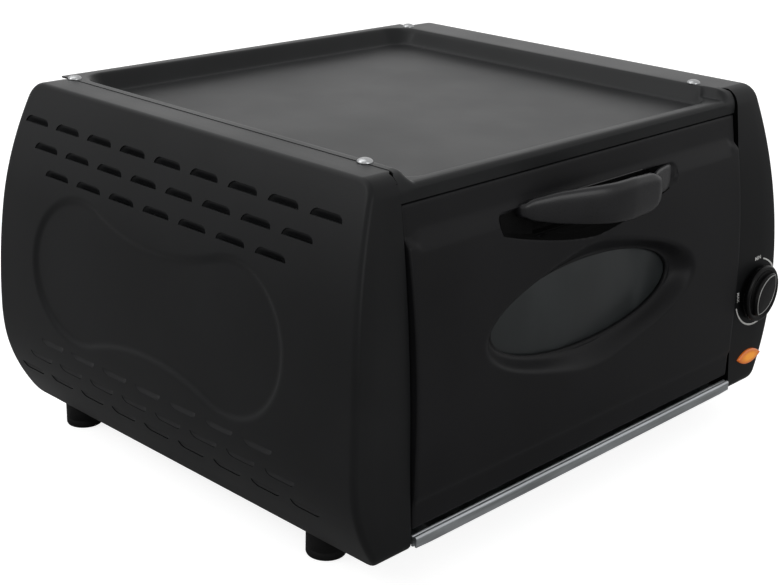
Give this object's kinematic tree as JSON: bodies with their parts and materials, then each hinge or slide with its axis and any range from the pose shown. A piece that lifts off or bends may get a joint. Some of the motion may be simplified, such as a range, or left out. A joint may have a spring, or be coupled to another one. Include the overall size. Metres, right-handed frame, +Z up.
{
  "type": "electric tandoor",
  "caption": "Low countertop oven with a drop-down front door, oval window, sunk warming tray on top, louvred barrel-shaped sides, thermostat knob and slide-out crumb tray.",
  "frame": {"origin": "middle of the footprint on the table, under the feet", "axes": "+Z up, -Y towards the door, +X towards the control side"},
  "size_m": [0.401, 0.3401, 0.2277],
  "materials": {
    "black_paint": "gloss powder coat",
    "tray_paint": "gloss enamel",
    "galvanised": "galvanised",
    "bright_steel": "satin",
    "heater_sheath": "matt oxidised steel",
    "ceramic": "glazed ceramic",
    "rack_chrome": "polished",
    "window_glass": "tinted",
    "handle_metal": "satin",
    "screw_steel": "zinc plated",
    "screw_chrome": "bright",
    "black_plastic": "satin",
    "white_plastic": "satin",
    "brass": "turned",
    "tray_metal": "bright",
    "knob_plastic": "gloss",
    "amber_lens": "translucent amber",
    "foot_rubber": "matt"
  },
  "bodies": {
    "casing": {"left_side_panel": "black_paint", "right_side_panel": "black_paint", "top_tray": "tray_paint", "back_panel": "black_paint", "base_pan": "galvanised", "front_frame": "bright_steel", "left_liner": "bright_steel", "right_liner": "bright_steel", "chamber_back": "bright_steel", "chamber_roof": "bright_steel", "upper_heaters": "heater_sheath", "lower_heaters": "heater_sheath", "heater_insulators": "ceramic", "heater_terminals": "screw_steel", "rack_runners": "bright_steel", "grill_rack": "rack_chrome", "hinge_bushes": "brass", "thermostat": "black_plastic", "thermostat_nut": "brass", "indicator_lens": "amber_lens", "indicator_lamp": "black_plastic", "top_screws": "screw_chrome", "back_screws": "screw_steel", "foot_screws": "screw_steel", "power_inlet": "black_plastic", "inlet_screws": "screw_steel", "terminal_block": "white_plastic", "foot_front_right": "foot_rubber", "foot_front_left": "foot_rubber", "foot_back_right": "foot_rubber", "foot_back_left": "foot_rubber"},
    "door": {"door_skin": "black_paint", "door_inner_panel": "bright_steel", "window_glass": "window_glass", "window_retainer": "bright_steel", "door_handle": "handle_metal", "handle_screws": "screw_steel", "finger_cup": "black_plastic", "hinge_pins": "screw_steel"},
    "crumb_tray": {"crumb_tray": "tray_metal"},
    "knob": {"control_knob": "knob_plastic", "thermostat_shaft": "brass"}
  },
  "joints": [
    {"name": "door_hinge", "type": "hinge", "parent": "casing", "child": "door", "pos_m": [0, -0.144, 0.039], "axis": [1, 0, 0], "range_deg": [0, 80]},
    {"name": "crumb_tray_slide", "type": "slide", "parent": "casing", "child": "crumb_tray", "axis": [0, -1, 0], "range_m": [0, 0.25]},
    {"name": "knob_turn", "type": "hinge", "parent": "casing", "child": "knob", "pos_m": [0.18, -0.152, 0.087], "axis": [0, 1, 0], "range_deg": [0, 270]}
  ]
}
